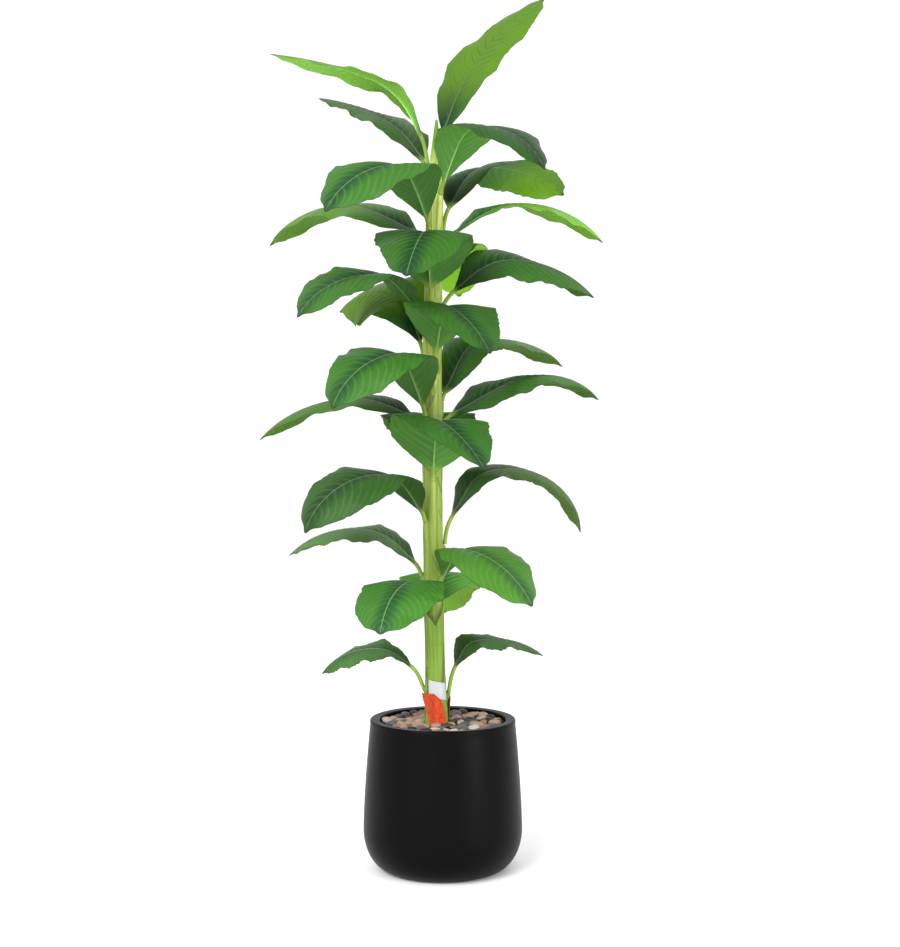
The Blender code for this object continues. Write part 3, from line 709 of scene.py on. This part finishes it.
def half_width(leaf, u, side, lobes):
    """Blade half width at share u of its length, on one side."""
    body = np.sin(math.pi * np.clip(u, 0.0, 1.0) ** leaf.belly)
    shape = np.maximum(body, 0.0) ** (1.2 - 0.65 * u)
    waver = 0.030 * np.sin(TURN * (lobes[0] * u + lobes[1] + side * 0.4))
    waver = waver + 0.014 * np.sin(TURN * (lobes[2] * u + lobes[3] + side * 0.7))
    shape = shape * (1 + waver * smooth(u / 0.2) * smooth((1 - u) / 0.1))
    shape = shape * (1 - 0.55 * smooth((u - 0.93) / 0.05))
    stalk = STALK_HALF_WIDTH * np.sqrt(np.clip(1 - u, 0.0, 1.0))
    return np.maximum(np.maximum(leaf.width / 2 * shape, stalk), 0.0010)


def leaf_line(leaf, stations):
    """Centre points, right-hand and upper directions at distances along the
    leaf from the trunk."""
    length = leaf.stalk + leaf.blade
    fine = np.linspace(0, length, LINE_STEPS)
    u = between(fine, leaf.stalk, length)
    turn = smooth((u - leaf.bend_at + leaf.bend_reach) / (2 * leaf.bend_reach))
    droop = between(u, leaf.bend_at, 1.0) ** 1.3
    slope = leaf.foot_slope + (leaf.bend_slope - leaf.foot_slope) * turn
    slope = slope + (leaf.tip_slope - leaf.bend_slope) * droop
    on_stalk = leaf.stalk_slope + (leaf.foot_slope - leaf.stalk_slope) * (fine / leaf.stalk) ** 2
    slope = np.radians(np.where(fine < leaf.stalk, on_stalk, slope))
    heading = np.radians(leaf.heading + leaf.sweep * u ** 1.3)
    step = np.stack([np.cos(slope) * np.cos(heading),
                     np.cos(slope) * np.sin(heading),
                     np.sin(slope)], axis=1)
    run = np.cumsum((step[1:] + step[:-1]) / 2 * (fine[1] - fine[0]), axis=0)
    path = np.concatenate([np.zeros((1, 3)), run])

    x, y = trunk_centre(leaf.height)
    lean = math.sin(math.radians(leaf.stalk_slope))
    out = trunk_radius(leaf.height) + GAP + STALK_THICKNESS / 2 * lean
    root = np.array([x + out * math.cos(heading[0]), y + out * math.sin(heading[0]),
                     leaf.height])
    centres = np.stack([np.interp(stations, fine, path[:, k] + root[k]) for k in range(3)], 1)
    slope = np.interp(stations, fine, slope)
    heading = np.interp(stations, fine, heading)
    tangent = np.stack([np.cos(slope) * np.cos(heading),
                        np.cos(slope) * np.sin(heading),
                        np.sin(slope)], axis=1)
    right = np.stack([np.sin(heading), -np.cos(heading), np.zeros_like(heading)], axis=1)
    upper = np.cross(right, tangent)
    share = smooth(between(stations, leaf.stalk, length))
    roll = np.radians(leaf.foot_roll + (leaf.tip_roll - leaf.foot_roll) * share)[:, None]
    rolled_right = np.cos(roll) * right - np.sin(roll) * upper
    rolled_upper = np.cos(roll) * upper + np.sin(roll) * right
    return centres, rolled_right, rolled_upper


def half_section(leaf, u, across):
    """The fold's run outwards and rise, in half widths, for every station u
    and every share across from rib to margin."""
    fold = leaf.foot_fold + (leaf.tip_fold - leaf.foot_fold) * smooth(u * 1.1)
    steps = np.linspace(0, 1, FOLD_STEPS)
    slope = np.radians(fold[:, None] - LEAF_CURL * steps) * smooth(u / 0.1)[:, None]
    mean = (slope[:, 1:] + slope[:, :-1]) / 2
    zero = np.zeros((len(u), 1))
    out = np.concatenate([zero, np.cumsum(np.cos(mean), 1)], 1) * steps[1]
    rise = np.concatenate([zero, np.cumsum(np.sin(mean), 1)], 1) * steps[1]
    spot = np.abs(across) * (FOLD_STEPS - 1)
    low = np.minimum(spot.astype(int), FOLD_STEPS - 2)
    part = spot - low
    return (out[:, low] * (1 - part) + out[:, low + 1] * part,
            rise[:, low] * (1 - part) + rise[:, low + 1] * part)


# a blade's columns of points, as shares of its half width, closest at the rib
HALF_COLUMNS = np.array([0, .02, .05, .085, .125, .17, .22, .27, .32, .38, .44, .50, .56,
                         .62, .68, .74, .80, .86, .92, .97, 1.0])
ACROSS = np.concatenate([-HALF_COLUMNS[:0:-1], HALF_COLUMNS])


def build_leaf(number, leaf, material, rng):
    """A leaf's upper and under skins, sewn together round the margin."""
    length = leaf.stalk + leaf.blade
    stations = np.concatenate([np.linspace(0, leaf.stalk, STALK_ROWS + 1)[:-1],
                               leaf.stalk + leaf.blade * np.linspace(0, 1, BLADE_ROWS)])
    u = between(stations, leaf.stalk, length)
    lobes = (rng.uniform(1.6, 2.8), rng.random(), rng.uniform(4.5, 6.5), rng.random())
    flutter = rng.uniform(6.5, 9.5)
    phase = rng.random()
    centres, right, upper = leaf_line(leaf, stations)
    out, rise = half_section(leaf, u, ACROSS)
    left = half_width(leaf, u, 0, lobes)[:, None]
    half = np.where(ACROSS[None] < 0, left, half_width(leaf, u, 1, lobes)[:, None])
    uu, vv = np.meshgrid(u, ACROSS, indexing="ij")
    frill = np.sin(TURN * (FRILLS * uu + 0.3 * np.sign(vv)))
    frill = frill * np.sin(TURN * (3.3 * uu + phase)) * smooth(uu / 0.15)
    half = half * (1 + leaf.frill * frill)
    reach = np.abs(vv)
    rib = reach * half

    # long waves as in the solid, short flutter at the margin, corrugation
    side = np.where(vv > 0, 0.0, 0.37)
    full = half / (leaf.width / 2)
    long_wave = np.sin(TURN * (LONG_WAVES * uu + side + leaf.heading / 90))
    short_wave = np.sin(TURN * (flutter * uu + phase + 1.7 * side))
    bow = 0.10 * reach + 0.13 * reach ** 2.6
    vein = VEINS * (uu - bow)
    ridge = np.cos(TURN * vein) * smooth(reach / 0.2) * smooth(full)
    ridge = ridge * (1 - smooth((reach - 0.35) / 0.45))
    lift = LONG_WAVE * full * reach ** 2 * long_wave + RIDGE * ridge
    lift = lift + SHORT_WAVE * full * reach ** 5 * short_wave

    blade = smooth(uu / 0.10)
    keel = KEEL * (1 - uu) ** 2.2 + KEEL_TIP
    keel = keel * hump(rib / (KEEL_WIDTH * (1 - 0.6 * uu)))
    groove = GROOVE * (1 - 0.8 * uu) * blade * hump(rib / GROOVE_WIDTH)
    stalk_half = STALK_THICKNESS / 2 * np.sqrt(1 - 0.92 * reach ** 2)
    blade_half = BLADE_THICKNESS / 2 * (1 - 0.4 * reach)
    thick = stalk_half + (blade_half - stalk_half) * blade
    top_lift = lift + thick - groove
    low_lift = lift - thick - keel * blade

    def skin(height):
        across = (np.sign(vv) * out * half)[..., None] * right[:, None]
        return centres[:, None] + across + (rise * half + height)[..., None] * upper[:, None]

    vertices = np.concatenate([skin(top_lift).reshape(-1, 3), skin(low_lift).reshape(-1, 3)])

    # painted shade towards the foot
    foot_shade = 1 - smooth((uu - 0.05) / 0.45)
    # painted backlight from some way along the blade
    outer = smooth((uu - leaf.backlight_from) / 0.25)
    length_share = np.where(stations < leaf.stalk, stations / leaf.stalk - 1, u)
    flat = np.ones_like(uu)
    # each number on the upper skin, then on the underskin
    pairs = {
        "along": [length_share[:, None] * flat] * 2,
        "face": [0 * flat, flat],
        "vein": [vein] * 2,
        "rib_mm": [rib * 1000] * 2,
        "edge_mm": [(half - rib) * 1000] * 2,
        # the next four hold painted backlight, painted shade, painted light and shade, and a
        # painted grey sheen
        "backlight": [leaf.backlight_top * outer, leaf.backlight_under * outer],
        "painted_foot_shade": [leaf.painted_foot_shade * foot_shade, leaf.painted_foot_shade_under * foot_shade],
        "tone": [leaf.top_painted_light * flat, leaf.under_painted_light * flat],
        "grey": [leaf.grey * flat] * 2,
    }
    numbers = {key: np.array(pair) for key, pair in pairs.items()}
    base = f"leaf_{number:02d}"
    nodes = [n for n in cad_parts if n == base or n.startswith(base + "_")]
    rows, columns = uu.shape
    mesh = piece(f"frond_{number:02d}", vertices, sewn_faces(rows, columns), material,
                 nodes, numbers, sharp=60)
    lay_out(mesh, rows, columns, length_share)


def lay_out(mesh, rows, columns, length_share):
    """A map for the leaf: upper skin in the lower half, underskin above it,
    the sewn margins in thin strips."""
    count = rows * columns
    s = (length_share - length_share[0]) / (length_share[-1] - length_share[0])
    s = 0.01 + 0.98 * np.repeat(s[:, None], columns, 1).ravel()
    t = np.tile((ACROSS + 1) / 2, rows)
    loops = np.zeros(len(mesh.loops), dtype=np.int64)
    mesh.loops.foreach_get("vertex_index", loops)
    low = loops >= count
    spot = loops % count
    uv = np.stack([s[spot], np.where(low, 0.51 + 0.46 * t[spot], 0.01 + 0.46 * t[spot])], 1)
    strips = (rows - 1) * (columns - 1) * 2 * 4     # loops of the two skins come first
    seam = np.arange(len(loops)) >= strips
    uv[seam, 1] = np.where(low[seam], 0.495, 0.485)
    far = seam & (np.arange(len(loops)) >= strips + (rows - 1) * 4)
    uv[far, 1] = np.where(low[far], 0.99, 0.98)
    layer = mesh.uv_layers.new(name="OFBake")
    layer.data.foreach_set("uv", uv.astype(np.float32).ravel())


# -------------------------------------------------------------------- planter

def pot_outside(z):
    """The planter's outer radius at height z."""
    if z < POT_BELLY_Z:
        rise = (POT_BELLY_Z - z) / POT_BELLY_Z
        return POT_FOOT_R + (POT_BELLY_R - POT_FOOT_R) * math.sqrt(max(0, 1 - rise ** 2))
    share = (z - POT_BELLY_Z) / (POT_HEIGHT - POT_BELLY_Z)
    return POT_BELLY_R - (POT_BELLY_R - POT_NECK_R) * share ** 1.5


def corner_points(size, radius, z, start):
    """A rounded corner of a profile, a quarter turn about (radius, z)."""
    turn = [math.radians(a) for a in range(start, start + 91, 15)]
    return [(radius + size * math.cos(a), z + size * math.sin(a)) for a in turn]


def build_pot():
    """The planter's wall with a rounded lip, turned finely."""
    round_z = [POT_BELLY_Z * (1 - math.cos(math.radians(a))) for a in range(4, 91, 4)]
    wall_z = list(np.linspace(POT_BELLY_Z + 0.008, POT_HEIGHT - 0.012, 22))
    lip_z = POT_HEIGHT - POT_LIP_OUT_R
    profile = [(POT_FOOT_R - 0.003, 0.0), (POT_FOOT_R, 0.0006)]
    profile += [(pot_outside(z), z) for z in round_z + wall_z]
    profile += corner_points(POT_LIP_OUT_R, POT_RIM_R - POT_LIP_OUT_R, lip_z, 0)
    profile += corner_points(POT_LIP_IN_R, POT_MOUTH_R + POT_LIP_IN_R, lip_z, 90)
    profile += [(POT_MOUTH_R, POT_HEIGHT - 0.012), (POT_MOUTH_R + 0.002, FILL_TOP + 0.012)]
    profile += [(pot_outside(z) - POT_WALL, z) for z in (0.300, 0.2, 0.1, 0.04, 0.016)]
    profile += [(POT_FOOT_R, POT_WALL)]
    angle = np.linspace(0, TURN, POT_SEGMENTS, endpoint=False)
    radius, z = np.array(profile).T[..., None]
    rings = np.stack([radius * np.cos(angle), radius * np.sin(angle), z + 0 * angle], -1)
    ends = [[0, 0, 0], [0, 0, POT_WALL]]
    vertices = np.concatenate([rings.reshape(-1, 3), ends])
    piece("planter", vertices, ring_faces(len(profile), POT_SEGMENTS), pot_material(),
          ["pot"], sharp=40)


# -------------------------------------------------------------------- pebbles

# how many stones, the height of their centres and how finely each is made
PEBBLE_LAYERS = ((95, FILL_TOP + 0.0065, 2), (105, PEBBLE_TOP - 0.0085, 3))
PEBBLE_SIZES = (0.0085, 0.0150)
PEBBLE_MOST_HALF_HEIGHT = 0.0078
PEBBLE_TILT = 0.16              # radians, as a standard deviation
PEBBLE_PUSHES = 120             # times that overlapping stones are pushed apart
# colour, and how common it is
PEBBLE_KINDS = {
    "pinkish": ((0.290, 0.175, 0.120), 6),
    "tan": ((0.290, 0.190, 0.110), 3),
    "beige": ((0.340, 0.265, 0.200), 4),
    "rust": ((0.220, 0.105, 0.065), 2),
    "grey": ((0.070, 0.068, 0.066), 3),
    "slate": ((0.018, 0.023, 0.022), 4),
    "black": ((0.008, 0.008, 0.009), 4),
    "mauve": ((0.105, 0.075, 0.085), 2),
    "pale": ((0.400, 0.365, 0.325), 1),
}


def spread_pebbles(count, rng, sizes):
    """Plan places in the pot's mouth, pushed apart from each other and from
    the trunk."""
    limit = POT_MOUTH_R - 0.002
    turn = rng.uniform(0, TURN, count)
    out = limit * np.sqrt(rng.random(count))
    spots = np.stack([out * np.cos(turn), out * np.sin(turn)], 1)
    trunk = np.array([float(v) for v in trunk_centre(FILL_TOP)])
    for _ in range(PEBBLE_PUSHES):
        gap = spots[:, None] - spots[None]
        far = np.linalg.norm(gap, axis=2) + 1e-9
        want = (sizes[:, None] + sizes[None]) * 0.92
        push = np.clip(want - far, 0, None) * (far < want)
        np.fill_diagonal(push, 0)
        spots += (gap / far[..., None] * push[..., None]).sum(1) * 0.35
        away = spots - trunk
        near = np.linalg.norm(away, axis=1) + 1e-9
        wish = np.maximum(near, TRUNK_FOOT_R + sizes * 0.9)
        spots = trunk + away * (wish / near)[:, None]
        reach = np.linalg.norm(spots, axis=1)
        spots *= np.minimum(1, (limit - sizes * 0.95) / reach)[:, None]
    return spots


def build_pebbles():
    """Two layers of river stones, joined by colour."""
    rng = np.random.default_rng(SEED)
    names = [name for name, (_, share) in PEBBLE_KINDS.items() for _ in range(share)]
    stones = {name: bmesh.new() for name in PEBBLE_KINDS}
    for count, level, detail in PEBBLE_LAYERS:
        sizes = rng.uniform(*PEBBLE_SIZES, count)
        spots = spread_pebbles(count, rng, sizes)
        for size, (x, y) in zip(sizes, spots):
            bm = stones[names[rng.integers(len(names))]]
            made = bmesh.ops.create_icosphere(bm, subdivisions=detail, radius=1.0)
            flat = rng.uniform(0.42, 0.62)
            scale = np.array([size * rng.uniform(1.05, 1.3), size * rng.uniform(0.8, 1.0),
                              min(size * flat, PEBBLE_MOST_HALF_HEIGHT)])
            tilt = Euler((rng.normal(0, PEBBLE_TILT), rng.normal(0, PEBBLE_TILT),
                          rng.uniform(0, TURN))).to_matrix()
            seed = Vector(rng.uniform(-50, 50, 3).tolist())
            rise = level + rng.uniform(-0.0012, 0.0012)
            for v in made["verts"]:
                lump = 1 + 0.16 * noise.noise(v.co * 1.1 + seed)
                lump += 0.05 * noise.noise(v.co * 2.7 + seed)
                shape = Vector([c * s * lump for c, s in zip(v.co, scale)])
                v.co = tilt @ shape + Vector((x, y, rise))
    for name, bm in stones.items():
        mesh = bpy.data.meshes.new("pebbles_" + name)
        bm.to_mesh(mesh)
        bm.free()
        colour = PEBBLE_KINDS[name][0]
        show(mesh, pebble_material("stone_" + name, colour), ["pebble_bed"])


# ------------------------------------------------------------------ foot trim

WRAP_ROWS = 40
WRAP_COLUMNS = 33
FELT_THICKNESS = 0.0016
CARD_THICKNESS = 0.0005


def wrapped(name, rows, thickness, material, node, crumple=0.0, tilt=0.0):
    """A thin plate wrapped on the trunk. Each row is (height, first angle,
    last angle, distance that it stands off), from the bottom up; tilt drops
    its right side, in metres for each metre round."""
    keys = np.array(rows)
    share = np.linspace(0, 1, len(rows))
    fine = np.linspace(0, 1, WRAP_ROWS)
    z, first, last, off = [np.interp(fine, share, keys[:, k]) for k in range(4)]
    part = np.linspace(0, 1, WRAP_COLUMNS)
    angle = np.radians(first[:, None] + (last - first)[:, None] * part)
    zz = np.repeat(z[:, None], WRAP_COLUMNS, 1)
    cx, cy = trunk_centre(zz)
    base = trunk_radius(zz) + GAP + off[:, None]
    middle = (angle - angle.mean(1, keepdims=True)) * base
    waves = crumple * (np.sin(middle * 420 + 30 * zz) + 0.6 * np.sin(middle * 900 - 55 * zz))
    lift = base + crumple * 1.2 + waves * smooth(fine / 0.25)[:, None]
    zz = zz - tilt * middle

    def skin(extra):
        radius = lift + extra
        return np.stack([cx + radius * np.cos(angle), cy + radius * np.sin(angle), zz], -1)

    vertices = np.concatenate([skin(thickness).reshape(-1, 3), skin(0).reshape(-1, 3)])
    piece(name, vertices, sewn_faces(WRAP_ROWS, WRAP_COLUMNS), material, [node],
          sharp=60)


def build_foot_trim():
    """The orange wrapper in front, its end behind in darker, browner painted shade, and the blank
    card.
    """
    orange = sheath_material("orange_felt", ORANGE, ORANGE_CREASE_SHADE)
    orange_in_shade = sheath_material("orange_felt_in_shade", ORANGE_IN_SHADE, ORANGE_IN_SHADE_CREASE)
    wrapped("husk_front", [(0.330, 238, 318, 0.0010), (0.341, 236, 317, 0.0011),
                           (0.352, 230, 312, 0.0016), (0.368, 219, 304, 0.0028),
                           (0.385, 207, 290, 0.0046), (0.398, 199, 264, 0.0072)],
            FELT_THICKNESS, orange, "sheath_front", crumple=0.0007)
    # the end behind the trunk: the orange felt in painted shade
    wrapped("husk_back", [(0.330, 20, 82, 0.0014), (0.358, 14, 78, 0.0040),
                          (0.382, 12, 70, 0.0066), (0.396, 20, 54, 0.0074)],
            FELT_THICKNESS, orange_in_shade, "sheath_back", crumple=0.0004)
    wrapped("blank_tag", [(0.386, 236, 330, 0.0018), (0.424, 234, 326, 0.0018)],
            CARD_THICKNESS, label_material(), "trunk_label", tilt=0.21)


# ---------------------------------------------------------------------- stage

FLOOR_REACH = 30.0
SKY_STRENGTH = 1.12
# name, place, the point that it is aimed at, width and height, watts
LAMPS = (
    ("key", (-4.0, -6.4, 5.0), (0, 0, 1.0), (5.0, 5.0), 800),
    ("fill", (5.5, -5.0, 2.5), (0, 0, 1.0), (3.0, 3.0), 260),
    ("strip", (4.4, -3.6, 0.9), (0, 0, 0.3), (0.5, 2.4), 60),
)
CAMERA_PLACE = (0.0163, -3.33, 0.953)
CAMERA_DOWN = 1.03              # degrees below level
CAMERA_SENSOR = 36              # mm
CAMERA_LENS = 55.96             # mm


def area_light(name, place, target, size, power):
    """A softbox aimed at a point."""
    data = bpy.data.lights.new(name, "AREA")
    data.shape = "RECTANGLE"
    data.size, data.size_y = size
    data.energy = power
    lamp = bpy.data.objects.new(name, data)
    lamp.location = place
    lamp.rotation_euler = (Vector(target) - Vector(place)).to_track_quat("-Z", "Y").to_euler()
    bpy.context.scene.collection.objects.link(lamp)


def build_stage():
    """Pale floor, soft lamps, pale surroundings, and the camera."""
    far = FLOOR_REACH
    mesh = bpy.data.meshes.new("studio_floor")
    mesh.from_pydata([(-far, -far, 0), (far, -far, 0), (far, far, 0), (-far, far, 0)], [],
                     [(0, 1, 2, 3)])
    mesh.materials.append(floor_material())
    floor = bpy.data.objects.new("studio_floor", mesh)
    bpy.context.scene.collection.objects.link(floor)

    world = bpy.data.worlds.new("studio")
    world.use_nodes = True
    back = world.node_tree.nodes["Background"]
    back.inputs["Color"].default_value = (1, 1, 1, 1)
    back.inputs["Strength"].default_value = SKY_STRENGTH
    scene = bpy.context.scene
    scene.world = world
    scene.view_settings.view_transform = "Standard"

    for lamp in LAMPS:
        area_light(*lamp)

    data = bpy.data.cameras.new("photo_view")
    data.sensor_width = CAMERA_SENSOR
    data.lens = CAMERA_LENS
    camera = bpy.data.objects.new("photo_view", data)
    camera.location = CAMERA_PLACE
    camera.rotation_euler = (math.radians(90 - CAMERA_DOWN), 0, 0)
    scene.collection.objects.link(camera)
    scene.camera = camera


def build():
    """Dress the whole plant, then set the stage."""
    rng = np.random.default_rng(SEED)
    print_cloth = leaf_material()
    for number, leaf in enumerate(LEAVES, start=1):
        build_leaf(number, leaf, print_cloth, rng)
    build_trunk()
    build_pot()
    build_pebbles()
    build_foot_trim()
    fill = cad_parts["pot_fill"]
    fill.data.materials.clear()
    fill.data.materials.append(fill_material())
    build_stage()


build()
